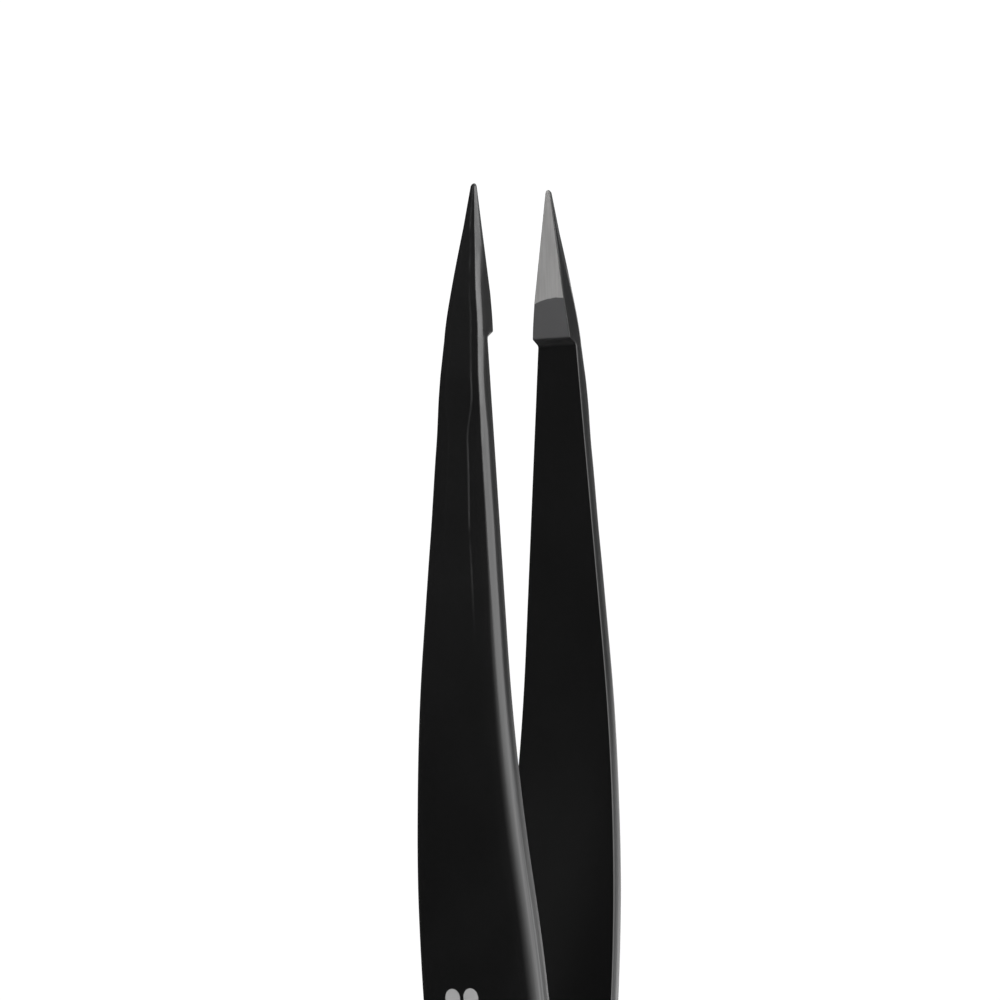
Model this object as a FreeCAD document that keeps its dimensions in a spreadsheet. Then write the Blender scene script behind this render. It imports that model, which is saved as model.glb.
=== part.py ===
import FreeCAD, Part
import math
import os
import Sketcher

# Pointed tweezers: two identical spring arms, spot welded face to face at the heel.
#
# Frame, in millimetres: Z runs along the tweezers from the heel (0) to the tips, the arms
# squeeze together along X, and Y is across their width. The right arm is at +X, and the left
# arm is the same arm turned half a turn about Z. Heights are measured up from the heel end,
# lengths down from the tip, and reaches out from the plane X = 0 that the arms close on.
#
# An arm bends just above the weld. It is made there in two pieces, a heel and a blade, with a
# narrow flat gap between them, and the blade turns about the middle of that gap.

SIZES = {
    "overall_length": 95.0,
    # side view of the strip: it leaves the weld at one gentle bend and turns in at the bow
    "arm_thickness": 1.6,
    "heel_bend_height": 10.2,
    "heel_bend_radius": 50.0,
    "flexure_height": 13.5,
    "flexure_gap": 0.06,
    "bow_height": 54.7,
    "bow_reach": 6.24,
    "bow_radius": 120.0,
    "strip_end_reach": 5.6,
    # side view, inner face: ground facet at the tip, coated rest of the pad, neck behind it
    "tip_reach": 4.08,
    "facet_length": 7.8,
    "facet_reach": 4.09,
    "pad_length": 10.4,
    "pad_reach": 4.27,
    "neck_length": 10.8,
    "neck_reach": 4.92,
    # side view, outer face: where the nose is ground thinner towards the tip
    "nose_length": 17.0,
    "nose_reach": 6.41,
    "shoulder_length": 7.4,
    "shoulder_reach": 5.54,
    "shoulder_radius": 40.0,
    "tip_thickness": 0.22,
    # front view: full widths where the outline's straight runs meet, before that corner is
    # rounded, so the arm's own widest place is 10.63 wide rather than 11
    "heel_width": 8.6,
    "heel_corner_radius": 3.5,
    "widest_height": 38.5,
    "widest_width": 11.0,
    "widest_radius": 143.0,
    "waist_length": 16.0,
    "waist_width": 4.28,
    "waist_radius": 30.0,
    "point_length": 9.6,
    "point_width": 3.24,
    "point_radius": 25.0,
    "tip_width": 0.38,
    "edge_rounding": 0.75,
    # spot weld nuggets, one above the other
    "weld_diameter": 2.4,
    "weld_depth": 0.5,
    "weld_height": 2.6,
    "weld_spacing": 3.2,
    # how far a cut's outline runs past the solid
    "clearance_cut": 5.0,
}

# Numbers that stand for a curve's ends and centre, the origin and the two axes in a sketch.
START, END, CENTRE = 1, 2, 3
ORIGIN_POINT = (-1, 1)
HORIZONTAL_AXIS, VERTICAL_AXIS = -1, -2

TINY = 1e-6
FACING = 0.9    # least part of a unit normal that counts as facing along an axis

doc = FreeCAD.newDocument("Tweezers")
sheet = doc.addObject("Spreadsheet::Sheet", "Dims")
for row, (name, size) in enumerate(SIZES.items(), start=1):
    sheet.set(f"A{row}", name)
    sheet.set(f"B{row}", str(size))
    sheet.setAlias(f"B{row}", name)
doc.recompute()


def bound(formula):
    """A formula written in plain names, with each name pointed at the sheet."""
    words = formula.replace("(", "( ").replace(")", " )").split()
    return " ".join(f"Dims.{word}" if word in SIZES else word for word in words)


def value(formula):
    """The number that a formula gives now."""
    return float(sheet.evalExpression(bound(formula)))


# ---- sketches ---------------------------------------------------------------------------------

def new_sketch(body, name, plane_role):
    """Sketch on one of the body's own origin planes."""
    sketch = body.newObject("Sketcher::SketchObject", name)
    plane = next(item for item in body.Origin.OriginFeatures if item.Role == plane_role)
    sketch.AttachmentSupport = [(plane, "")]
    sketch.MapMode = "FlatFace"
    return sketch


def constrain(sketch, kind, *reference, formula):
    """Dimension that stays bound to its formula."""
    index = sketch.addConstraint(Sketcher.Constraint(kind, *reference, value(formula)))
    sketch.setExpression(f"Constraints[{index}]", bound(formula))


def pin(sketch, point, across, along):
    """Fix a point at its two distances from the sketch's origin."""
    for kind, axis, formula in (
        ("DistanceX", VERTICAL_AXIS, across),
        ("DistanceY", HORIZONTAL_AXIS, along),
    ):
        if abs(value(formula)) < TINY:
            sketch.addConstraint(Sketcher.Constraint("PointOnObject", *point, axis))
        else:
            constrain(sketch, kind, *ORIGIN_POINT, *point, formula=formula)


def measure_bend(before, corner, after, radius):
    """Where an arc of this radius meets the two lines of a corner, and where its centre is."""
    back = (before - corner).normalize()
    ahead = (after - corner).normalize()
    half_bend = (math.pi - back.getAngle(ahead)) / 2
    reach = radius * math.tan(half_bend)
    to_centre = (back + ahead).normalize() * (radius / math.cos(half_bend))
    return {
        "arrive": corner + back * reach,
        "leave": corner + ahead * reach,
        "middle": corner + to_centre * (1 - math.cos(half_bend)),
        "turns_left": back.cross(ahead).z < 0,
    }


def draw_outline(sketch, corners):
    """Closed outline through (across, along) corners; a third formula is the corner's radius."""
    points = [FreeCAD.Vector(value(corner[0]), value(corner[1]), 0) for corner in corners]
    bends = []
    for index, corner in enumerate(corners):
        radius = value(corner[2]) if len(corner) > 2 else 0.0
        after = points[(index + 1) % len(points)]
        bends.append(measure_bend(points[index - 1], points[index], after, radius))
    lines = []
    for index, bend in enumerate(bends):
        following = bends[(index + 1) % len(bends)]
        lines.append(sketch.addGeometry(Part.LineSegment(bend["leave"], following["arrive"])))
    for index, corner in enumerate(corners):
        arriving, leaving = lines[index - 1], lines[index]
        if len(corner) > 2:
            draw_bend(sketch, arriving, leaving, points[index], bends[index], corner)
        else:
            sketch.addConstraint(Sketcher.Constraint("Coincident", arriving, END, leaving, START))
            pin(sketch, (leaving, START), *corner)


def draw_bend(sketch, arriving, leaving, point, bend, corner):
    """Arc tangent to two lines, with the corner that the lines aim at pinned in place."""
    across, along, radius = corner
    ends = [bend["arrive"], bend["leave"]]
    arrival, departure = START, END
    if not bend["turns_left"]:    # a sketch's arc always runs anticlockwise
        ends.reverse()
        arrival, departure = END, START
    arc = sketch.addGeometry(Part.Arc(ends[0], bend["middle"], ends[1]))
    sketch.addConstraint(Sketcher.Constraint("Tangent", arriving, END, arc, arrival))
    sketch.addConstraint(Sketcher.Constraint("Tangent", leaving, START, arc, departure))
    constrain(sketch, "Radius", arc, formula=radius)
    aim = sketch.addGeometry(Part.Point(point), True)
    sketch.addConstraint(Sketcher.Constraint("PointOnObject", aim, START, arriving))
    sketch.addConstraint(Sketcher.Constraint("PointOnObject", aim, START, leaving))
    pin(sketch, (aim, START), across, along)


def mirrored(corners):
    """The same corners on the other side of the arm's middle line, met in the other order."""
    return [(f"0 - ( {across} )", *rest) for across, *rest in reversed(corners)]


def both_sides(half):
    """A half outline from the bottom up, closed by its mirror image from the top down."""
    return half + mirrored(half)


# ---- outlines ---------------------------------------------------------------------------------

# The strip's middle line at the height of the flexure.
FLEXURE_REACH = (
    "( arm_thickness / 2 + ( flexure_height - heel_bend_height )"
    " * ( bow_reach - arm_thickness / 2 ) / ( bow_height - heel_bend_height ) )"
)
BLADE_FOOT = "flexure_height + flexure_gap / 2"
HEEL_HEAD = "flexure_height - flexure_gap / 2"
INNER_BOW_REACH = "bow_reach - arm_thickness / 2"
OUTER_BOW_REACH = "bow_reach + arm_thickness / 2"

HEEL_PROFILE = [
    ("0", "0"),
    ("arm_thickness", "0"),
    ("arm_thickness", "heel_bend_height", "heel_bend_radius - arm_thickness / 2"),
    (f"{FLEXURE_REACH} + arm_thickness / 2", HEEL_HEAD),
    (f"{FLEXURE_REACH} - arm_thickness / 2", HEEL_HEAD),
    ("0", "heel_bend_height", "heel_bend_radius + arm_thickness / 2"),
]

BLADE_PROFILE = [
    (f"{FLEXURE_REACH} - arm_thickness / 2", BLADE_FOOT),
    (f"{FLEXURE_REACH} + arm_thickness / 2", BLADE_FOOT),
    (OUTER_BOW_REACH, "bow_height", "bow_radius + arm_thickness / 2"),
    ("strip_end_reach", "overall_length"),
    ("tip_reach", "overall_length"),
    ("facet_reach", "overall_length - facet_length"),
    ("pad_reach", "overall_length - pad_length"),
    ("neck_reach", "overall_length - neck_length"),
    (INNER_BOW_REACH, "bow_height", "bow_radius - arm_thickness / 2"),
]

# What grinding takes off the outer face of the nose.
NOSE_WASTE = [
    ("nose_reach", "overall_length - nose_length"),
    ("nose_reach + clearance_cut", "overall_length - nose_length"),
    ("nose_reach + clearance_cut", "overall_length + clearance_cut"),
    ("tip_reach + tip_thickness", "overall_length + clearance_cut"),
    ("tip_reach + tip_thickness", "overall_length"),
    ("shoulder_reach", "overall_length - shoulder_length", "shoulder_radius"),
]

# Front view of the strip before its point is ground; heel and blade share it.
STRIP_OUTLINE = both_sides([
    ("heel_width / 2", "0", "heel_corner_radius"),
    ("widest_width / 2", "widest_height", "widest_radius"),
    ("waist_width / 2", "overall_length - waist_length", "waist_radius"),
    ("waist_width / 2", "overall_length + clearance_cut"),
])
STRIP_WASTE = both_sides([
    ("widest_width", "0 - clearance_cut"),
    ("widest_width", "overall_length + 2 * clearance_cut"),
])

# What grinding takes off one side of the nose, seen from the front.
POINT_WASTE = [
    ("waist_width / 2", "overall_length - waist_length"),
    ("waist_width / 2 + clearance_cut", "overall_length - waist_length"),
    ("waist_width / 2 + clearance_cut", "overall_length + clearance_cut"),
    ("tip_width / 2", "overall_length + clearance_cut"),
    ("tip_width / 2", "overall_length"),
    ("point_width / 2", "overall_length - point_length", "point_radius"),
]


# ---- features ---------------------------------------------------------------------------------

def cut(body, name, plane_role, outlines):
    """Pocket through the whole arm."""
    volume_before = body.Tip.Shape.Volume
    sketch = new_sketch(body, f"{name}_sketch", plane_role)
    for outline in outlines:
        draw_outline(sketch, outline)
    pocket = body.newObject("PartDesign::Pocket", name)
    pocket.Profile = sketch
    pocket.Type = "ThroughAll"
    pocket.SideType = "Symmetric"
    doc.recompute()
    check_removal(pocket, volume_before)


def check_removal(feature, volume_before):
    """A cut that removes nothing has missed the solid."""
    if feature.Shape.Volume > volume_before - TINY:
        raise RuntimeError(f"{feature.Name} removed nothing")


def round_outer_edges(body):
    """Round the two long edges between the strip's outer face and its sides."""
    base = body.Tip
    names = []
    for number, edge in enumerate(base.Shape.Edges, start=1):
        middle = edge.valueAt((edge.FirstParameter + edge.LastParameter) / 2)
        faces = base.Shape.ancestorsOfType(edge, Part.Face)
        normals = [face.normalAt(*face.Surface.parameter(middle)) for face in faces]
        is_outer = any(normal.x > FACING for normal in normals)
        is_side = any(abs(normal.y) > FACING for normal in normals)
        if is_outer and is_side:
            names.append(f"Edge{number}")
    volume_before = base.Shape.Volume
    rounding = body.newObject("PartDesign::Fillet", f"{body.Name}_rounding")
    rounding.Base = (base, names)
    rounding.setExpression("Radius", bound("edge_rounding"))
    doc.recompute()
    check_removal(rounding, volume_before)


def new_strip(label, profile, placement):
    """Length of one arm's strip: side view extruded across, trimmed from the front, rounded."""
    body = doc.addObject("PartDesign::Body", label)
    body.Placement = placement
    side_view = new_sketch(body, f"{label}_profile", "XZ_Plane")
    draw_outline(side_view, profile)
    stock = body.newObject("PartDesign::Pad", f"{label}_stock")
    stock.Profile = side_view
    stock.SideType = "Symmetric"
    stock.setExpression("Length", bound("widest_width"))
    doc.recompute()
    cut(body, f"{label}_trim", "YZ_Plane", [STRIP_WASTE, STRIP_OUTLINE])
    round_outer_edges(body)
    return body


def heel(label, placement):
    """Welded end of an arm, with a seat for each weld nugget in its inner face."""
    body = new_strip(label, HEEL_PROFILE, placement)
    outline = new_sketch(body, f"{label}_weld_outline", "YZ_Plane")
    for height in WELD_HEIGHTS:
        circle = Part.Circle(
            FreeCAD.Vector(0, value(height), 0), FreeCAD.Vector(0, 0, 1), value("weld_diameter / 2")
        )
        seat = outline.addGeometry(circle)
        pin(outline, (seat, CENTRE), "0", height)
        constrain(outline, "Diameter", seat, formula="weld_diameter")
    volume_before = body.Tip.Shape.Volume
    seats = body.newObject("PartDesign::Pocket", f"{label}_weld_seats")
    seats.Profile = outline
    seats.Type = "Length"
    seats.Reversed = True    # a pocket cuts against its plane's normal unless it is reversed
    seats.setExpression("Length", bound("weld_depth"))
    doc.recompute()
    check_removal(seats, volume_before)
    return body


def blade(label, placement):
    """Free end of an arm, ground to a point in both views."""
    body = new_strip(label, BLADE_PROFILE, placement)
    cut(body, f"{label}_nose_grinding", "XZ_Plane", [NOSE_WASTE])
    point_waste = [POINT_WASTE, mirrored(POINT_WASTE)]
    cut(body, f"{label}_point_grinding", "YZ_Plane", point_waste)
    return body


def spot_welds(label):
    """The two nuggets, each a short cylinder across the plane where the heels meet."""
    nuggets = []
    for number, height in enumerate(WELD_HEIGHTS, start=1):
        nugget = doc.addObject("Part::Cylinder", f"nugget_{number}")
        nugget.Placement.Rotation = FreeCAD.Rotation(FreeCAD.Vector(0, 1, 0), 90)
        nugget.setExpression("Radius", bound("weld_diameter / 2"))
        nugget.setExpression("Height", bound("2 * weld_depth"))
        nugget.setExpression("Placement.Base.x", bound("0 - weld_depth"))
        nugget.setExpression("Placement.Base.z", bound(height))
        nuggets.append(nugget)
    group = doc.addObject("Part::Compound", label)
    group.Links = nuggets
    return group


# ---- the tweezers -----------------------------------------------------------------------------

WELD_HEIGHTS = ("weld_height", "weld_height + weld_spacing")
RIGHT = FreeCAD.Placement()
LEFT = FreeCAD.Placement(FreeCAD.Vector(), FreeCAD.Rotation(FreeCAD.Vector(0, 0, 1), 180))

subparts = [
    heel("left_heel", LEFT),
    heel("right_heel", RIGHT),
    spot_welds("spot_welds"),
    blade("left_blade", LEFT),
    blade("right_blade", RIGHT),
]
doc.recompute()

for item in doc.Objects:
    if "Invalid" in item.State or "Error" in item.State:
        raise RuntimeError(f"{item.Name} did not build: {item.State}")
for subpart in subparts:
    if subpart.Shape.isNull() or not subpart.Shape.isValid():
        raise RuntimeError(f"{subpart.Label} has no valid shape")

os.makedirs("parts", exist_ok=True)
for subpart in subparts:
    subpart.Shape.exportStep(f"parts/{subpart.Label}.step")
    box = subpart.Shape.optimalBoundingBox()
    print(f"{subpart.Label}: {subpart.Shape.Volume:.1f} mm3, {len(subpart.Shape.Solids)} solids,", box)
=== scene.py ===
import math

import bpy
import numpy as np
from mathutils import Matrix, Vector


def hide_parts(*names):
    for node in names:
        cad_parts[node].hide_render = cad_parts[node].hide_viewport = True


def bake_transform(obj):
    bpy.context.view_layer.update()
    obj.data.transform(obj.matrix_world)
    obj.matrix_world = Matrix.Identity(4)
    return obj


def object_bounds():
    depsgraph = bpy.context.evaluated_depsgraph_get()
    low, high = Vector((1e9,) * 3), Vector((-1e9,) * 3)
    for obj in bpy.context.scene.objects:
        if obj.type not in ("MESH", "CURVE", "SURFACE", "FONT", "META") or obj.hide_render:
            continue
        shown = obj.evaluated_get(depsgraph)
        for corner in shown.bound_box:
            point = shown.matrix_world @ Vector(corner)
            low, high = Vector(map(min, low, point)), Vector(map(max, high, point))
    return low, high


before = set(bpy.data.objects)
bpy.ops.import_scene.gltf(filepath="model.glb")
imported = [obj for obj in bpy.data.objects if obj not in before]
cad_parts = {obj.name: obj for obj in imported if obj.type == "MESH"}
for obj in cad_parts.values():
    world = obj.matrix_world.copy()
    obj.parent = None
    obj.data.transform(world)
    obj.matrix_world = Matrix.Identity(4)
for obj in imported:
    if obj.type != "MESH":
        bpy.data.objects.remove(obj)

cad_low, cad_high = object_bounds()

# Pointed tweezers, satin black, with bare ground facets inside the tips.
#
# Each arm is one springy strip, so it is one closed mesh here: a section swept from the heel to
# the tip. Shape values are in millimetres unless a comment says otherwise. Heights are measured
# up from the heel end, lengths down from the tip, and reaches out from the plane X = 0 that the
# arms close on. The right arm is at +X, and the left arm is the same arm turned half a turn
# about Z.

MM = 0.001
LENGTH = cad_high.z / MM


# ---- side and front view of the strip ---------------------------------------------------------

THICK = 1.6
HEEL_BEND_HEIGHT, HEEL_BEND_RADIUS = 10.2, 50.0
BOW_HEIGHT, BOW_REACH, BOW_RADIUS = 54.7, 6.24, 120.0
STRIP_END_REACH = 5.6
NOSE_LENGTH, NOSE_REACH = 17.0, 6.41
SHOULDER_LENGTH, SHOULDER_REACH, SHOULDER_RADIUS = 7.4, 5.54, 40.0
TIP_REACH, TIP_THICKNESS, TIP_WIDTH = 4.08, 0.22, 0.38
FACET_LENGTH, FACET_REACH = 7.8, 4.09
PAD_LENGTH, PAD_REACH = 10.4, 4.27
NECK_LENGTH, NECK_REACH = 10.8, 4.92
PAD_ROUND, NECK_ROUND = 0.15, 0.32

HEEL_WIDTH, HEEL_CORNER = 8.6, 3.5
WIDEST_HEIGHT, WIDEST_WIDTH, WIDEST_RADIUS = 38.5, 11.0, 143.0
WAIST_LENGTH, WAIST_WIDTH, WAIST_RADIUS = 16.0, 4.28, 30.0
POINT_LENGTH, POINT_WIDTH, POINT_RADIUS = 9.6, 3.24, 25.0
ARC_STEPS = 40


def smooth_path(corners):
    """Points along straight runs through (value, height) corners; a third number rounds one."""
    places = [np.array(corner[:2], float) for corner in corners]
    path = [places[0]]
    for before, place, after, corner in zip(places, places[1:], places[2:], corners[1:]):
        radius = corner[2] if len(corner) > 2 else 0.0
        back = (before - place) / np.linalg.norm(before - place)
        ahead = (after - place) / np.linalg.norm(after - place)
        half_bend = (math.pi - math.acos(np.clip(back @ ahead, -1, 1))) / 2
        middle = (back + ahead) / np.linalg.norm(back + ahead)
        centre = place + middle * (radius / math.cos(half_bend))
        side = (back - ahead) / np.linalg.norm(back - ahead)
        for turn in np.linspace(half_bend, -half_bend, ARC_STEPS if radius else 1):
            path.append(centre - radius * (math.cos(turn) * middle - math.sin(turn) * side))
    path.append(places[-1])
    return np.array(path)


def along(corners):
    """The value of a smooth path at any height."""
    path = smooth_path(corners)
    path = path[np.argsort(path[:, 1], kind="stable")]
    return lambda height: float(np.interp(height, path[:, 1], path[:, 0]))


strip_outer = along([
    (THICK, 0.0),
    (THICK, HEEL_BEND_HEIGHT, HEEL_BEND_RADIUS - THICK / 2),
    (BOW_REACH + THICK / 2, BOW_HEIGHT, BOW_RADIUS + THICK / 2),
    (STRIP_END_REACH, LENGTH),
])
nose_outer = along([
    (NOSE_REACH, LENGTH - NOSE_LENGTH),
    (SHOULDER_REACH, LENGTH - SHOULDER_LENGTH, SHOULDER_RADIUS),
    (TIP_REACH + TIP_THICKNESS, LENGTH),
])
inner_reach = along([
    (0.0, 0.0),
    (0.0, HEEL_BEND_HEIGHT, HEEL_BEND_RADIUS + THICK / 2),
    (BOW_REACH - THICK / 2, BOW_HEIGHT, BOW_RADIUS - THICK / 2),
    (NECK_REACH, LENGTH - NECK_LENGTH, NECK_ROUND),
    (PAD_REACH, LENGTH - PAD_LENGTH, PAD_ROUND),
    (FACET_REACH, LENGTH - FACET_LENGTH),
    (TIP_REACH, LENGTH),
])
side_reach = along([
    (HEEL_WIDTH / 2, 0.0),
    (WIDEST_WIDTH / 2, WIDEST_HEIGHT, WIDEST_RADIUS),
    (WAIST_WIDTH / 2, LENGTH - WAIST_LENGTH, WAIST_RADIUS),
    (POINT_WIDTH / 2, LENGTH - POINT_LENGTH, POINT_RADIUS),
    (TIP_WIDTH / 2, LENGTH),
])


def outer_reach(height):
    """Reach of the outer face, which is ground down along the nose."""
    if height > LENGTH - NOSE_LENGTH:
        return min(strip_outer(height), nose_outer(height))
    return strip_outer(height)


def half_width(height):
    """Half the arm's width, with the heel's round corners."""
    if height >= HEEL_CORNER:
        return side_reach(height)
    flat = HEEL_WIDTH / 2 - HEEL_CORNER
    grow = side_reach(height) - HEEL_WIDTH / 2
    return flat + grow + math.sqrt(HEEL_CORNER ** 2 - (HEEL_CORNER - height) ** 2)


# ---- the section ------------------------------------------------------------------------------

# Outer edges. From the ridge where the flat outer face ends, a shallow facet and then a bevel
# lead down to the side: (height, facet wide, facet deep, bevel wide, bevel deep, softness of
# the ridge, of the facet's far corner, and of the bevel's far corner, bulge of the side).
EDGE_SHAPE = np.array([
    (0.0, 1.10, 0.20, 0.46, 0.44, 0.50, 0.50, 0.30, 0.035),
    (38.0, 1.20, 0.25, 0.46, 0.44, 0.50, 0.50, 0.30, 0.035),
    (50.0, 1.27, 0.23, 0.40, 0.43, 0.45, 0.42, 0.26, 0.035),
    (62.0, 1.38, 0.19, 0.34, 0.42, 0.30, 0.26, 0.18, 0.030),
    (70.0, 1.36, 0.16, 0.34, 0.38, 0.08, 0.10, 0.13, 0.025),
    (76.8, 1.15, 0.10, 0.30, 0.31, 0.04, 0.05, 0.18, 0.022),
    (80.5, 0.62, 0.05, 0.21, 0.23, 0.03, 0.04, 0.14, 0.026),
    (87.0, 0.54, 0.05, 0.17, 0.30, 0.03, 0.05, 0.12, 0.030),
    (91.0, 0.36, 0.05, 0.11, 0.48, 0.03, 0.05, 0.06, 0.022),
    (95.0, 0.36, 0.05, 0.11, 0.48, 0.03, 0.05, 0.06, 0.010),
])
CROWN_PLACE, CROWN_DEPTH, CROWN_SOFT = 0.58, 0.32, 0.12     # the facet's own slight bend
FLAT_RUN, SIDE_RUN = 1.0, 0.6           # straight runs before the ridge and past the bevel
INNER_BEVEL, PAD_BEVEL, FACET_BEVEL = 0.06, 0.04, 0.04
ROUNDING_ERROR = 0.01                   # lengths closer than this count as the same

# Limits, as shares.
MOST_OF_RUN = 0.48                      # of a straight run that one soft corner takes
WIDEST_EDGE, DEEPEST_EDGE = 0.8, 0.6    # of the half width and thickness that an edge takes
MOST_BULGE = 0.06                       # of the half width and of the thickness
WIDEST_BEVEL, DEEPEST_BEVEL = 0.3, 0.25     # of the half width and thickness, inside

# The tip's end is rounded off by shrinking the section about a point near the inner face.
TIP_ROUND = 0.24
TIP_CENTRE = 0.15                       # share of the thickness, from the inner face
TIP_SHRINK = 0.9                        # share of the section's area gone at the very end

FACE_COLUMNS = 12
CORNER_STEPS = (4, 4, 6, 6)             # ridge, crown, facet's far corner, bevel's far corner
EDGE_COLUMNS = 8
BEVEL_STEPS = 3
INNER_COLUMNS = 7

CORNER_BEVEL = (0.0, 0.2, 1.0, 1.0)     # how much each corner's columns look like a bevel
SIDE_BEVEL = 0.6


def ease(low, high, value):
    """0 below low, 1 above high, smooth between."""
    share = min(max((value - low) / (high - low), 0.0), 1.0)
    return share * share * (3 - 2 * share)


def edge_shape(height):
    """The numbers of EDGE_SHAPE at any height, changing smoothly from row to row."""
    upper = int(np.clip(np.searchsorted(EDGE_SHAPE[:, 0], height), 1, len(EDGE_SHAPE) - 1))
    low, high = EDGE_SHAPE[upper - 1], EDGE_SHAPE[upper]
    return low[1:] + (high - low)[1:] * ease(low[0], high[0], height)


def soft_corner(before, corner, after, reach, steps):
    """Points of a curve that takes the place of a sharp corner."""
    back, ahead = before - corner, after - corner
    start = corner + back * min(reach / np.linalg.norm(back), MOST_OF_RUN)
    end = corner + ahead * min(reach / np.linalg.norm(ahead), MOST_OF_RUN)
    shares = np.linspace(0, 1, steps + 1)[:, None]
    return (1 - shares) ** 2 * start + 2 * shares * (1 - shares) * corner + shares ** 2 * end


def edge_profile(height):
    """(across, down) from the ridge, with the ridge at 0, 0, out to the side of the arm."""
    facet_wide, facet_deep, bevel_wide, bevel_deep, *softness, bulge = edge_shape(height)
    ridge_soft, facet_soft, bevel_soft = softness
    half = half_width(height)
    thickness = outer_reach(height) - inner_reach(height)
    depth = min(facet_deep + bevel_deep, DEEPEST_EDGE * thickness)
    lean = 4 * bulge / (thickness - depth)
    end_wide, end_deep = facet_wide + bevel_wide, facet_deep + bevel_deep
    corners = np.array([
        (-FLAT_RUN, 0.0),
        (0.0, 0.0),
        (CROWN_PLACE * facet_wide, CROWN_DEPTH * facet_deep),
        (facet_wide, facet_deep),
        (end_wide, end_deep),
        (end_wide + lean * SIDE_RUN, end_deep + SIDE_RUN),
    ])
    reaches = (ridge_soft, CROWN_SOFT + ridge_soft, facet_soft, bevel_soft)
    turns = zip(corners, corners[1:], corners[2:], reaches, CORNER_STEPS)
    points = np.vstack([soft_corner(*turn) for turn in turns])
    wide, deep = points[-1] - points[0]
    points[:, 0] *= min(1.0, WIDEST_EDGE * half / wide)
    points[:, 1] *= min(1.0, DEEPEST_EDGE * thickness / deep)
    return points


def inside_distance(across, height):
    """How far a point of the front view lies in from the heel's round end."""
    out = abs(across) - (half_width(HEEL_CORNER) - HEEL_CORNER)
    if out <= 0:
        return height
    return max(HEEL_CORNER - math.hypot(out, HEEL_CORNER - height), 0.0)


def inner_bevel(height):
    """Size of the small bevel along the inner face."""
    below = LENGTH - height
    if below < FACET_LENGTH:
        return FACET_BEVEL
    return PAD_BEVEL if below < PAD_LENGTH + ROUNDING_ERROR else INNER_BEVEL


def outer_points(height, outer, half):
    """Half of the outer face and its edge. The edge runs on round the heel's end."""
    profile = edge_profile(height)
    wide = profile[-1, 0]
    ridge = half - wide
    flat = ridge + profile[0, 0]
    points = [(outer, flat * column / FACE_COLUMNS) for column in range(FACE_COLUMNS)]
    points += [(outer - down, ridge + across) for across, down in profile]
    if height >= HEEL_CORNER:
        return points
    away, down = wide - profile[::-1, 0], profile[::-1, 1]
    return [
        (outer - float(np.interp(inside_distance(across, height), away, down)), across)
        for _, across in points
    ]


def side_points(top, inner, half, bulge, bevel):
    """The slightly bulging side below reach top, the inner bevel and half the inner face."""
    lean = math.atan(4 * bulge / (top - inner - bevel))
    foot = inner + bevel * (1 - math.sin(lean))
    inner_half = half - bevel * math.cos(lean)
    points = []
    for column in range(1, EDGE_COLUMNS):
        share = column / EDGE_COLUMNS
        swell = bulge * (1 - (2 * share - 1) ** 2)
        points.append((top + (foot - top) * share, half + swell))
    for step in range(BEVEL_STEPS + 1):
        turn = lean + (math.pi / 2 - lean) * step / BEVEL_STEPS
        points.append((inner + bevel * (1 - math.sin(turn)), inner_half + bevel * math.cos(turn)))
    for column in range(1, INNER_COLUMNS + 1):
        points.append((inner, inner_half * (1 - column / INNER_COLUMNS)))
    return points


def section(height):
    """Closed loop of (reach, across) points round the arm, starting at the outer face's middle."""
    outer, inner, half = outer_reach(height), inner_reach(height), half_width(height)
    thickness = outer - inner
    bulge = min(edge_shape(height)[-1], MOST_BULGE * half, MOST_BULGE * thickness)
    half -= bulge
    bevel = min(inner_bevel(height), WIDEST_BEVEL * half, DEEPEST_BEVEL * thickness)
    one_side = outer_points(height, outer, half)
    one_side += side_points(one_side[-1][0], inner, half, bulge, bevel)
    other_side = [(reach, -across) for reach, across in reversed(one_side[1:-1])]
    loop = np.array(one_side + other_side)
    past = (height - (LENGTH - TIP_ROUND)) / TIP_ROUND
    if past > 0:
        middle = np.array([inner + TIP_CENTRE * thickness, 0.0])
        loop = middle + (loop - middle) * math.sqrt(max(1 - TIP_SHRINK * past * past, 0.0))
    return loop


def column_marks():
    """Bevel share of each column, from the outer middle round, and the first inner column."""
    bevel = [0.0] * FACE_COLUMNS
    for steps, share in zip(CORNER_STEPS, CORNER_BEVEL):
        bevel += [share] * (steps + 1)
    bevel += [SIDE_BEVEL] * (EDGE_COLUMNS - 1)
    bevel += [0.0] * (BEVEL_STEPS + 1 + INNER_COLUMNS)
    first_inner = len(bevel) - 1 - INNER_COLUMNS
    return bevel + bevel[-2:0:-1], first_inner


def edge_marks(loop):
    """Each column's distance across from the ridge and from the bevel's top, and its depth."""
    ridge_steps, crown_steps, facet_steps, _ = CORNER_STEPS
    ridge_column = FACE_COLUMNS + ridge_steps // 2
    bevel_column = FACE_COLUMNS + (ridge_steps + 1) + (crown_steps + 1) + facet_steps // 2
    across = abs(loop[:, 1])
    return across - across[ridge_column], across - across[bevel_column], loop[0, 0] - loop[:, 0]


# ---- the arm's mesh ---------------------------------------------------------------------------

BODY_SPACING, NOSE_SPACING = 0.5, 0.25
BODY_END_GAP = 0.3
STEP_SPREAD, STEP_ROWS = 0.2, 11        # rows close together round the pad's foot and the neck
FACET_SPREAD = 0.04
HEEL_TURN, TIP_TURN = 4, 15             # degrees from row to row round the heel and tip ends
LEAST_SPACING = 0.004

WELD_HEIGHTS = (2.6, 5.8)
DIMPLE_RADIUS, DIMPLE_DEPTH = 1.1, 0.035
DIMPLE_FLOOR = 0.55                     # share of the radius that is flat

# The strip is made a hair smaller than its nominal size, so that it stays inside the CAD's box.
INSIDE = Vector((0.9988, 0.9995, 0.99999))


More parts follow.
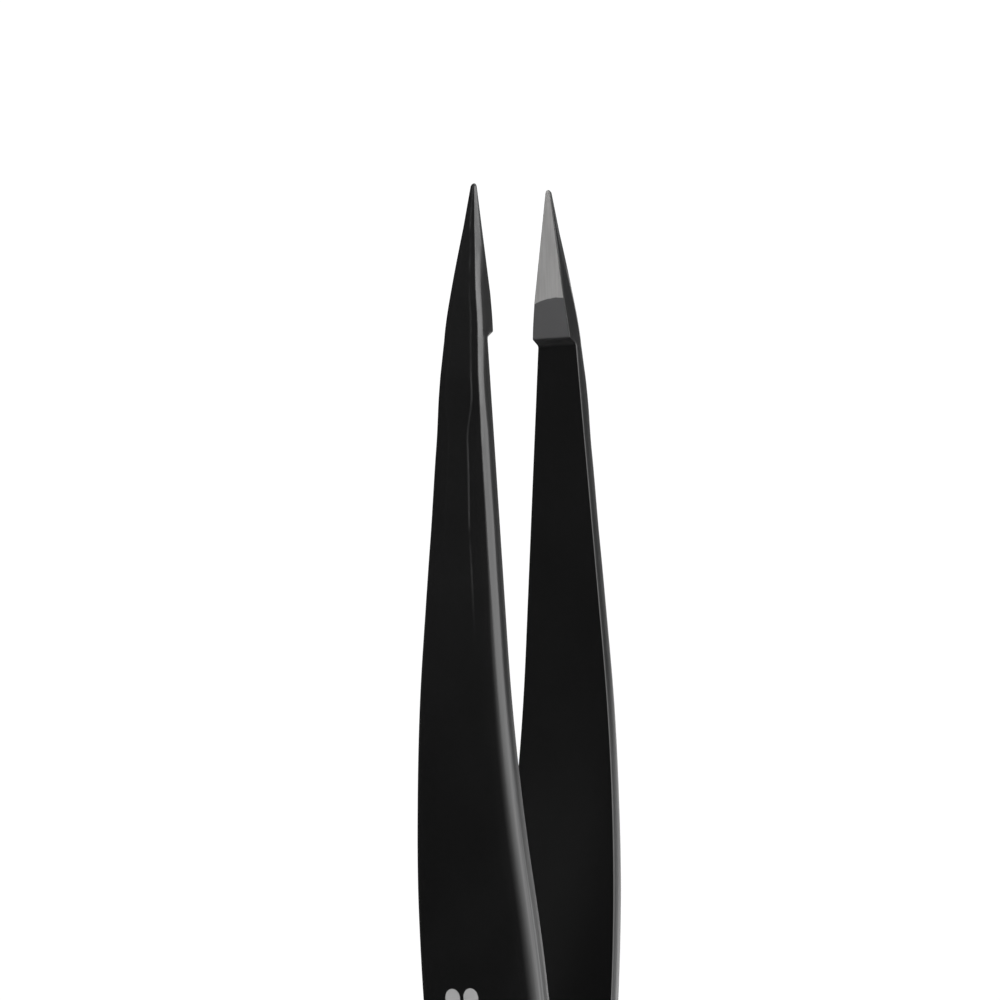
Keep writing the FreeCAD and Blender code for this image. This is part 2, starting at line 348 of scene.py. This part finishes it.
def row_heights():
    """Heights of the section's rows: close together where the shape turns quickly."""
    heights = [
        HEEL_CORNER * (1 - math.cos(math.radians(turn))) for turn in range(0, 90, HEEL_TURN)
    ]
    heights += list(np.arange(HEEL_CORNER, LENGTH - NECK_LENGTH - BODY_END_GAP, BODY_SPACING))
    heights += list(np.arange(LENGTH - NECK_LENGTH, LENGTH - TIP_ROUND, NOSE_SPACING))
    for mark in (NECK_LENGTH, PAD_LENGTH):
        heights += list(LENGTH - mark + np.linspace(-STEP_SPREAD, STEP_SPREAD, STEP_ROWS))
    heights += [LENGTH - FACET_LENGTH + offset for offset in (-FACET_SPREAD, 0, FACET_SPREAD)]
    heights += [
        LENGTH - TIP_ROUND * (1 - math.sin(math.radians(turn))) for turn in range(0, 91, TIP_TURN)
    ]
    heights.sort()
    kept = [heights[0]]
    for height in heights[1:]:
        if height - kept[-1] > LEAST_SPACING:
            kept.append(height)
    return kept


def weld_dimple(across, height):
    """Depth of the shallow dimples that spot welding leaves in the heel's outer faces."""
    depth = 0.0
    for centre in WELD_HEIGHTS:
        away = math.hypot(across, height - centre) / DIMPLE_RADIUS
        depth += DIMPLE_DEPTH * (1 - ease(DIMPLE_FLOOR, 1.0, away))
    return depth


def arm_points(rows, loops, sign):
    """The mesh's corners in metres, row by row; sign is +1 for the right arm, -1 for the left."""
    points = []
    for height, loop in zip(rows, loops):
        middle = 0.5 * (loop[:, 0].min() + loop[:, 0].max())
        for reach, across in loop:
            dent = weld_dimple(across, height) if reach > middle else 0.0
            place = Vector((sign * (reach - dent), sign * across, height)) * INSIDE
            points.append(place * MM)
    return points


def arm_faces(row_count, columns, first_inner):
    """Faces between the rows and over both ends, each with a 1 if it is on the inner face."""
    faces, inner = [], []
    for row in range(row_count - 1):
        for column in range(columns):
            near = row * columns + column
            far = row * columns + (column + 1) % columns
            faces.append((near, far, far + columns, near + columns))
            inner.append(float(first_inner <= column < columns - first_inner))
    faces.append(tuple(reversed(range(columns))))
    faces.append(tuple(range((row_count - 1) * columns, row_count * columns)))
    return faces, inner + [0.0, 0.0]


def mark_mesh(mesh, points, loops, bevel, inner):
    """Stores what the material needs to know; lengths are in metres."""
    wear_and_highlight = np.array([edge_marks(loop) for loop in loops]) * MM
    for label, domain, values in (
        ("off_ridge", "POINT", wear_and_highlight[:, 0].ravel()),
        ("off_bevel", "POINT", wear_and_highlight[:, 1].ravel()),
        ("depth", "POINT", wear_and_highlight[:, 2].ravel()),
        ("bevel", "POINT", bevel * len(loops)),
        ("inner", "FACE", inner),
    ):
        mesh.attributes.new(label, "FLOAT", domain).data.foreach_set("value", values)
    rest = mesh.attributes.new("rest", "FLOAT_VECTOR", "POINT")
    rest.data.foreach_set("vector", np.array(points).ravel())


def shade_by_area(mesh):
    """Smooth shading in which large faces stay flat and the small corner faces take the turn."""
    mesh.polygons.foreach_set("use_smooth", [True] * len(mesh.polygons))
    normals = np.zeros((len(mesh.vertices), 3))
    for face in mesh.polygons:
        normals[list(face.vertices)] += np.array(face.normal) * face.area
    lengths = np.linalg.norm(normals, axis=1)
    normals[lengths > 0] /= lengths[lengths > 0, None]
    mesh.normals_split_custom_set_from_vertices([tuple(normal) for normal in normals])


def build_arm(name, sign):
    """One arm as a closed mesh; sign is +1 for the right arm and -1 for the left."""
    rows = row_heights()
    loops = [section(height) for height in rows]
    bevel, first_inner = column_marks()
    points = arm_points(rows, loops, sign)
    faces, inner = arm_faces(len(rows), len(loops[0]), first_inner)
    mesh = bpy.data.meshes.new(name)
    mesh.from_pydata(points, [], faces)
    mesh.update()
    mark_mesh(mesh, points, loops, bevel, inner)
    shade_by_area(mesh)
    arm = bpy.data.objects.new(name, mesh)
    bpy.context.scene.collection.objects.link(arm)
    return arm


# ---- shader nodes -----------------------------------------------------------------------------

class Nodes:
    """Short way to add and link the nodes of a material or a world."""

    MIX_SOCKETS = {"FLOAT": (2, 3, 0), "RGBA": (6, 7, 2)}   # the two inputs and the output

    def __init__(self, owner):
        owner.use_nodes = True
        self.tree = owner.node_tree
        self.tree.nodes.clear()

    def add(self, kind, inputs=None, **settings):
        node = self.tree.nodes.new(kind)
        for key, setting in settings.items():
            setattr(node, key, setting)
        for key, source in (inputs or {}).items():
            if isinstance(source, bpy.types.NodeSocket):
                self.tree.links.new(source, node.inputs[key])
            else:
                node.inputs[key].default_value = source
        return node

    def math(self, operation, first, second=0.0, third=None, clamp=False):
        inputs = {0: first, 1: second}
        if third is not None:
            inputs[2] = third
        node = self.add("ShaderNodeMath", inputs, operation=operation, use_clamp=clamp)
        return node.outputs[0]

    def product(self, first, *others):
        for factor in others:
            first = self.math("MULTIPLY", first, factor)
        return first

    def scaled(self, value, factor, offset):
        """value * factor + offset"""
        return self.math("MULTIPLY_ADD", value, factor, offset)

    def step(self, value, low, high):
        """0 below low, 1 above high, smooth between; high may be the smaller."""
        node = self.add("ShaderNodeMapRange", {
            "Value": value, "From Min": low, "From Max": high, "To Min": 0.0, "To Max": 1.0
        }, interpolation_type="SMOOTHSTEP")
        return node.outputs[0]

    def mix(self, factor, first, second, kind="FLOAT"):
        low, high, result = self.MIX_SOCKETS[kind]
        node = self.add("ShaderNodeMix", {0: factor, low: first, high: second}, data_type=kind)
        return node.outputs[result]

    def mix_colour(self, factor, first, second):
        return self.mix(factor, first, second, kind="RGBA")

    def attribute(self, name, output="Fac"):
        return self.add("ShaderNodeAttribute", attribute_name=name).outputs[output]

    def noise(self, place, scale, detail, rough=0.5, stretch=(1, 1, 1)):
        mapped = self.add("ShaderNodeMapping", {"Vector": place, "Scale": stretch}).outputs[0]
        return self.add("ShaderNodeTexNoise", {
            "Vector": mapped, "Scale": scale, "Detail": detail, "Roughness": rough
        }).outputs["Fac"]

    def bump(self, height):
        """Surface normal for a relief whose height is in metres."""
        node = self.add("ShaderNodeBump", {"Height": height, "Strength": 1.0, "Distance": 1.0})
        return node.outputs[0]

    def surface(self, inputs):
        """The shader itself, as the material's output."""
        shader = self.add("ShaderNodeBsdfPrincipled", inputs)
        self.add("ShaderNodeOutputMaterial", {"Surface": shader.outputs[0]})


# ---- the arm's material -----------------------------------------------------------------------

COAT_COLOUR = (0.0050, 0.0050, 0.0052, 1)
COAT_WORN = (0.0062, 0.0062, 0.0064, 1)
PAD_COLOUR = (0.093, 0.093, 0.095, 1)
# Paler grey painted on the edges as highlights, and on the streaks of thinner coating.
HIGHLIGHT_AND_WEAR_COLOUR = (0.12, 0.12, 0.121, 1)
STEEL_COLOUR = (0.775, 0.77, 0.765, 1)
STEEL_DARK = (0.69, 0.685, 0.68, 1)
PRINT_COLOUR = (0.42, 0.42, 0.42, 1)

# Noises: scale is in waves per metre, and a stretch below 1 draws the pattern out along Z.
CLOUD = dict(scale=170, detail=3)
PATCHES = dict(scale=900, detail=3, rough=0.6, stretch=(1, 1, 0.25))
STREAKS = dict(scale=5200, detail=3, rough=0.6, stretch=(1, 1, 0.006))
GRIND = dict(scale=5200, detail=4, rough=0.65, stretch=(1, 1, 0.06))
LINES = dict(scale=3600, detail=3, rough=0.6, stretch=(1, 1, 0.03))
GRAIN = dict(scale=9000, detail=2, rough=0.6)
RAGGED = dict(scale=2600, detail=2)

# Noise levels between which each pattern goes from none to full.
CLOUD_LEVELS = (0.35, 0.70)
PATCH_LEVELS = (0.30, 0.62)
STREAK_LEVELS = (0.42, 0.62)
GRIND_LEVELS = (0.30, 0.70)

# Lines along the ridge and the bevel's top: painted highlights over slightly worn coating. Where
# they lie across from their edge, how wide and strong they are, and the heights over which they set
# in. They are painted strong, as highlights, on one side of each arm, and stay faint on the other.
RIDGE_LINE = dict(place=0.0, half_wide=0.06, wear_and_highlight=0.28, start=62, full=72)
BEVEL_LINE = dict(place=0.06, half_wide=0.07, wear_and_highlight=0.30, start=66, full=80)
LINE_CORE, LINE_END = 0.6, 2.0          # a line fades between these multiples of its half width
FAR_SIDE_WEAR = 0.05

# Streaks of thinner coating on the low bevels, over a painted highlight that lightens the bevel's
# side between the streaks too. Both set in downwards between two heights.
LOW_START, LOW_FULL = 64, 46
STREAK_AND_SHEEN_SHARE = 0.55
# The least share, kept between the streaks, is painted highlight.
STREAK_GAIN, PAINTED_SHEEN_LEAST = 0.7, 0.3
STREAK_SIDE = (0.2, 0.5)                # across from the bevel's top

# The ground facet's lower edge, the coated pad below it, and painted light on the step below the
# pad.
FACET_EDGE_RISE, FACET_EDGE_SLANT = 0.2, 0.115
FACET_EDGE_BOW = 95.0                   # per metre
FACET_EDGE_RAGGED, FACET_EDGE_BLUR = 0.06, 0.03
PAD_START, PAD_FULL = -0.08, 0.16       # heights from the pad's foot
STEP_START, STEP_FULL = -0.15, 0.10     # heights from the neck
# Share of the pad's paler colour painted on the step below it, as light falling on the step.
STEP_LIGHT_SHARE = 0.2

DOT_PLACES, DOT_HEIGHT, DOT_RADIUS, DOT_BLUR = (-2.0, -0.4), 38.6, 0.65, 0.03

# Roughness: a base, and what a noise or the low bevels add to it.
COAT_ROUGH, COAT_ROUGH_CLOUD, LOW_EDGE_ROUGH = 0.28, 0.04, 0.14
PAD_ROUGH = 0.55
STEEL_ROUGH, STEEL_ROUGH_GRIND = 0.76, 0.12

# Relief depths.
LINES_RELIEF, BEVEL_LINES_RELIEF = 0.0004, 0.0016
GRAIN_RELIEF, GRIND_RELIEF = 0.0004, 0.006


class ArmPlaces:
    """Sockets that say where on the arm a point is, shared by all parts of its material."""

    def __init__(self, nodes):
        self.rest = nodes.attribute("rest", "Vector")
        reach, across, self.height = nodes.add("ShaderNodeSeparateXYZ", {0: self.rest}).outputs
        self.arm_side = nodes.math("SIGN", reach)       # 1 on the right arm, -1 on the left
        self.across = nodes.math("MULTIPLY", across, self.arm_side)
        self.off_ridge = nodes.attribute("off_ridge")
        self.off_bevel = nodes.attribute("off_bevel")
        self.along_edge = nodes.add("ShaderNodeCombineXYZ", {
            0: self.off_bevel, 1: nodes.attribute("depth"), 2: self.height
        }).outputs[0]
        self.inner = nodes.attribute("inner")
        self.off_inner = nodes.math("SUBTRACT", 1.0, self.inner)    # 1 off the inner face
        self.bevel = nodes.attribute("bevel")
        low = nodes.step(self.height, LOW_START * MM, LOW_FULL * MM)
        self.low_bevel = nodes.product(self.bevel, low)


def above_facet_edge(nodes, at):
    """1 above the line where the grinding of the tip's inner face ends: slanted, bowed, ragged."""
    level = (LENGTH - FACET_LENGTH + FACET_EDGE_RISE) * MM
    edge = nodes.scaled(at.across, -FACET_EDGE_SLANT, level)
    bow = nodes.product(at.across, at.across, -FACET_EDGE_BOW)
    wobble = nodes.noise(at.rest, **RAGGED)
    ragged = nodes.scaled(wobble, FACET_EDGE_RAGGED * MM, -FACET_EDGE_RAGGED / 2 * MM)
    edge = nodes.math("ADD", edge, nodes.math("ADD", bow, ragged))
    above = nodes.math("SUBTRACT", at.height, edge)
    return nodes.step(above, -FACET_EDGE_BLUR * MM, FACET_EDGE_BLUR * MM)


def pad_and_step_light_mask(nodes, at, on_facet):
    """1 on the coated pad, a little on the step below it as painted light, 0 on the facet and
    elsewhere.
    """
    foot, neck = LENGTH - PAD_LENGTH, LENGTH - NECK_LENGTH
    on_pad = nodes.step(at.height, (foot + PAD_START) * MM, (foot + PAD_FULL) * MM)
    painted_step_light = nodes.step(at.height, (neck + STEP_START) * MM, (neck + STEP_FULL) * MM)
    pad_and_painted_step = nodes.math("MAXIMUM", on_pad, nodes.product(painted_step_light, STEP_LIGHT_SHARE))
    below_facet = nodes.math("SUBTRACT", pad_and_painted_step, on_facet)
    return nodes.math("MULTIPLY", at.inner, below_facet, clamp=True)


def printed_dots(nodes, at):
    """1 inside the two dots on the left arm's outer face."""
    rise = nodes.math("SUBTRACT", at.height, DOT_HEIGHT * MM)
    dots = 0.0
    for place in DOT_PLACES:
        aside = nodes.math("SUBTRACT", at.across, place * MM)
        squares = nodes.math("ADD", nodes.product(aside, aside), nodes.product(rise, rise))
        away = nodes.math("SQRT", squares)
        dot = nodes.step(away, (DOT_RADIUS + DOT_BLUR) * MM, (DOT_RADIUS - DOT_BLUR) * MM)
        dots = nodes.math("MAXIMUM", dots, dot)
    on_left = nodes.math("LESS_THAN", at.arm_side, 0.0)
    return nodes.product(dots, on_left, at.off_inner)


def wear_and_highlight_line(nodes, at, offset, place, half_wide, wear_and_highlight, start, full):
    """One line at this place across from an edge: a painted highlight over slightly worn coating."""
    away = nodes.math("ABSOLUTE", nodes.math("SUBTRACT", offset, place * MM))
    line = nodes.step(away, LINE_END * half_wide * MM, LINE_CORE * half_wide * MM)
    return nodes.product(line, nodes.step(at.height, start * MM, full * MM), wear_and_highlight)


def wear_and_highlight_lines(nodes, at):
    """Patchy lines along the ridge and the bevel's top, towards the tip: painted highlights on one
    side of the arm, faintly worn coating on the other.
    """
    ridge_line = wear_and_highlight_line(nodes, at, at.off_ridge, **RIDGE_LINE)
    bevel_line = wear_and_highlight_line(nodes, at, at.off_bevel, **BEVEL_LINE)
    lines = nodes.math("MAXIMUM", ridge_line, bevel_line)
    # The highlights are painted on one side of each arm only; the other side keeps faint lines.
    highlit_side = nodes.math("GREATER_THAN", at.across, 0.0)
    highlight_side_share = nodes.math("MAXIMUM", highlit_side, FAR_SIDE_WEAR)
    patchy = nodes.step(nodes.noise(at.rest, **PATCHES), *PATCH_LEVELS)
    return nodes.product(lines, highlight_side_share, patchy, at.off_inner)


def low_streaks_and_painted_sheen(nodes, at):
    """Lengthwise streaks of thinner coating on the low bevels, over an even painted highlight
    towards the side.
    """
    streaks = nodes.step(nodes.noise(at.along_edge, **STREAKS), *STREAK_LEVELS)
    # The least share lightens the bevel's side all along, as a painted highlight.
    streaks = nodes.scaled(streaks, STREAK_GAIN, PAINTED_SHEEN_LEAST)
    toward_side = nodes.step(at.off_bevel, STREAK_SIDE[0] * MM, STREAK_SIDE[1] * MM)
    strength = nodes.product(at.low_bevel, STREAK_AND_SHEEN_SHARE)
    return nodes.product(streaks, strength, toward_side, at.off_inner)


def arm_colour(nodes, at, bare, pad, cloud, grind):
    """Black coating, with painted highlights on slightly worn edges and low bevels, with the pad,
    the dots and the bare steel.
    """
    coat = nodes.mix_colour(nodes.step(cloud, *CLOUD_LEVELS), COAT_COLOUR, COAT_WORN)
    # Painted highlights along the ridge, the bevel's top and the low bevels, over worn coating and
    # streaks.
    painted_highlight_and_wear = nodes.math("MAXIMUM", wear_and_highlight_lines(nodes, at), low_streaks_and_painted_sheen(nodes, at))
    coat = nodes.mix_colour(painted_highlight_and_wear, coat, HIGHLIGHT_AND_WEAR_COLOUR)
    # The pad's paler coat, and painted light on the step below the pad.
    coat = nodes.mix_colour(pad, coat, PAD_COLOUR)
    coat = nodes.mix_colour(printed_dots(nodes, at), coat, PRINT_COLOUR)
    steel = nodes.mix_colour(nodes.step(grind, *GRIND_LEVELS), STEEL_DARK, STEEL_COLOUR)
    return nodes.mix_colour(bare, coat, steel)


def arm_roughness(nodes, at, bare, pad, cloud, grind):
    """Satin on the coating, duller on the low bevels and the pad, dull on the bare steel."""
    coat = nodes.scaled(cloud, COAT_ROUGH_CLOUD, COAT_ROUGH)
    coat = nodes.scaled(at.low_bevel, LOW_EDGE_ROUGH, coat)
    coat = nodes.mix(pad, coat, PAD_ROUGH)
    steel = nodes.scaled(grind, STEEL_ROUGH_GRIND, STEEL_ROUGH)
    return nodes.mix(bare, coat, steel)


def arm_relief(nodes, at, bare, grind):
    """Lengthwise grinding lines, strongest on the bevels, and a fine grain in the coating."""
    depth = nodes.scaled(at.bevel, BEVEL_LINES_RELIEF, LINES_RELIEF)
    lines = nodes.product(nodes.noise(at.along_edge, **LINES), depth)
    grain = nodes.product(nodes.noise(at.rest, **GRAIN), GRAIN_RELIEF)
    coat = nodes.math("ADD", lines, grain)
    steel = nodes.product(grind, GRIND_RELIEF)
    return nodes.bump(nodes.product(nodes.mix(bare, coat, steel), MM))


def arm_material():
    """Satin black coating, bare ground steel on the tip's inner facet, two small printed dots."""
    material = bpy.data.materials.new("black_coating_and_ground_tip")
    nodes = Nodes(material)
    at = ArmPlaces(nodes)
    on_facet = above_facet_edge(nodes, at)
    bare = nodes.product(at.inner, on_facet)
    # pad holds the pad's paler coat and the painted light on the step below it.
    pad = pad_and_step_light_mask(nodes, at, on_facet)
    cloud = nodes.noise(at.rest, **CLOUD)
    grind = nodes.noise(at.rest, **GRIND)
    nodes.surface({
        "Base Color": arm_colour(nodes, at, bare, pad, cloud, grind),
        "Metallic": bare,
        "Roughness": arm_roughness(nodes, at, bare, pad, cloud, grind),
        "Normal": arm_relief(nodes, at, bare, grind),
    })
    return material


# ---- the welds' material ----------------------------------------------------------------------

WELD_STEEL = (0.42, 0.41, 0.40, 1)
WELD_STRAW = (0.46, 0.36, 0.22, 1)
WELD_BLUE = (0.22, 0.26, 0.36, 1)
WELD_PATCHES = dict(scale=900, detail=4)
WELD_GRAIN = dict(scale=9000, detail=3)
WELD_PATCH_LEVELS, WELD_GRAIN_LEVELS = (0.35, 0.65), (0.30, 0.80)
WELD_ROUGH, WELD_ROUGH_GRAIN, WELD_RELIEF = 0.40, 0.25, 0.010


def weld_material():
    """Steel that was melted and cooled: straw and blue tints in patches, dull and slightly rough."""
    material = bpy.data.materials.new("weld_steel")
    nodes = Nodes(material)
    place = nodes.add("ShaderNodeTexCoord").outputs["Object"]
    patch = nodes.step(nodes.noise(place, **WELD_PATCHES), *WELD_PATCH_LEVELS)
    grain = nodes.noise(place, **WELD_GRAIN)
    tint = nodes.mix_colour(patch, WELD_STRAW, WELD_BLUE)
    nodes.surface({
        "Base Color": nodes.mix_colour(nodes.step(grain, *WELD_GRAIN_LEVELS), WELD_STEEL, tint),
        "Metallic": 1.0,
        "Roughness": nodes.scaled(grain, WELD_ROUGH_GRAIN, WELD_ROUGH),
        "Normal": nodes.bump(nodes.product(grain, WELD_RELIEF * MM)),
    })
    return material


# ---- the pieces -------------------------------------------------------------------------------

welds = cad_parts["spot_welds"]
welds.data.materials.clear()
welds.data.materials.append(weld_material())

arm_finish = arm_material()
for side, sign in (("right", 1), ("left", -1)):
    arm = build_arm(f"{side}_arm_strip", sign)
    arm.data.materials.append(arm_finish)
    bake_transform(arm)
    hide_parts(f"{side}_heel", f"{side}_blade")


# ---- floor, light and camera, in metres -------------------------------------------------------

FLOOR_RADIUS, FLOOR_DROP = 0.45, 0.0002
FLOOR_SPOTS = {"Scale": 60.0, "Detail": 4.0}
FLOOR_PALE, FLOOR_PALER = (0.88, 0.88, 0.88, 1), (0.92, 0.92, 0.92, 1)
FLOOR_ROUGH = 0.6

WHITE = (1, 1, 1, 1)
LOW_SKY, HIGH_SKY = 0.0, 0.3            # upward parts of the directions where the sky changes
SKY_SEEN, SKY_CAST_LOW, SKY_CAST_HIGH = 1.05, 0.045, 0.19

# Bearings and rises are in degrees, and powers in watts.
LIGHTS = {
    "key": dict(bearing=80, rise=6, distance=0.6, width=0.85, height=0.9, power=11),
    "key_side": dict(bearing=28, rise=5, distance=0.7, width=0.35, height=0.5, power=0.5),
    "low_side": dict(bearing=164, rise=-3, distance=0.7, width=0.52, height=0.18, power=1.25),
    "top": dict(bearing=120, rise=80, distance=0.8, width=0.6, height=0.6, power=2.5),
    "back": dict(bearing=196, rise=18, distance=0.8, width=0.3, height=0.6, power=0.9),
}
LIGHTS_AIM = 0.6                        # share of the tweezers' length

CAMERA_BEARING, CAMERA_RISE, CAMERA_ROLL = 38.56, -3.25, -0.693     # degrees
CAMERA_DISTANCE = 0.9
CAMERA_CLIP = (0.01, 10)
VIEW_SPAN = 69.4444 * MM                # what the picture takes in at the tweezers' distance
AIM_HEIGHT, AIM_SHIFT = 73.19 * MM, -1.0417 * MM
SENSOR = 36.0                           # millimetres


def build_floor():
    """A pale round floor just under the heel."""
    bpy.ops.mesh.primitive_circle_add(
        vertices=128, radius=FLOOR_RADIUS, fill_type="NGON", location=(0, 0, -FLOOR_DROP)
    )
    floor = bpy.context.object
    floor.name = "floor"
    material = bpy.data.materials.new("pale_floor")
    nodes = Nodes(material)
    spot = nodes.add("ShaderNodeTexNoise", FLOOR_SPOTS).outputs["Fac"]
    nodes.surface({
        "Base Color": nodes.mix_colour(spot, FLOOR_PALE, FLOOR_PALER),
        "Roughness": FLOOR_ROUGH,
    })
    floor.data.materials.append(material)
    floor.visible_glossy = False


def build_world():
    """Background that looks white and lights the object faintly, a little more from above."""
    world = bpy.data.worlds.new("studio")
    bpy.context.scene.world = world
    nodes = Nodes(world)
    way = nodes.add("ShaderNodeTexCoord").outputs["Generated"]
    rise = nodes.add("ShaderNodeSeparateXYZ", {0: way}).outputs[2]
    cast = nodes.add("ShaderNodeMapRange", {
        "Value": rise, "From Min": LOW_SKY, "From Max": HIGH_SKY,
        "To Min": SKY_CAST_LOW, "To Max": SKY_CAST_HIGH
    }).outputs[0]
    from_camera = nodes.add("ShaderNodeLightPath").outputs["Is Camera Ray"]
    strength = nodes.mix(from_camera, cast, SKY_SEEN)
    background = nodes.add("ShaderNodeBackground", {"Color": WHITE, "Strength": strength})
    nodes.add("ShaderNodeOutputWorld", {"Surface": background.outputs[0]})


def toward(bearing, rise):
    """Direction at a bearing, in degrees from the left (-X) round towards the near side (-Y)."""
    turn, lift = math.radians(bearing), math.radians(rise)
    return Vector((
        -math.cos(turn) * math.cos(lift), -math.sin(turn) * math.cos(lift), math.sin(lift)
    ))


def build_light(name, bearing, rise, distance, width, height, power):
    """A soft rectangular light that faces the tweezers."""
    light = bpy.data.lights.new(name, "AREA")
    light.shape = "RECTANGLE"
    light.size, light.size_y = width, height
    light.energy = power
    lamp = bpy.data.objects.new(name, light)
    bpy.context.scene.collection.objects.link(lamp)
    aim = Vector((0, 0, LENGTH * MM * LIGHTS_AIM))
    lamp.location = aim + toward(bearing, rise) * distance
    lamp.rotation_mode = "QUATERNION"
    lamp.rotation_quaternion = toward(bearing, rise).to_track_quat("Z", "Y")


def build_camera():
    """The photo's view: a long lens that looks slightly upwards, with a slight roll."""
    data = bpy.data.cameras.new("camera")
    data.sensor_width = SENSOR
    data.lens = SENSOR * CAMERA_DISTANCE / VIEW_SPAN
    data.clip_start, data.clip_end = CAMERA_CLIP
    camera = bpy.data.objects.new("camera", data)
    bpy.context.scene.collection.objects.link(camera)
    back = toward(CAMERA_BEARING, CAMERA_RISE)
    facing = back.to_track_quat("Z", "Y").to_matrix()
    right = facing.col[0]
    aim = Vector((0, 0, AIM_HEIGHT)) + right * AIM_SHIFT
    rolled = facing @ Matrix.Rotation(math.radians(CAMERA_ROLL), 3, "Z")
    camera.matrix_world = Matrix.Translation(aim + back * CAMERA_DISTANCE) @ rolled.to_4x4()
    bpy.context.scene.camera = camera


build_floor()
build_world()
for name, light in LIGHTS.items():
    build_light(name, **light)
build_camera()
bpy.context.scene.view_settings.view_transform = "Standard"
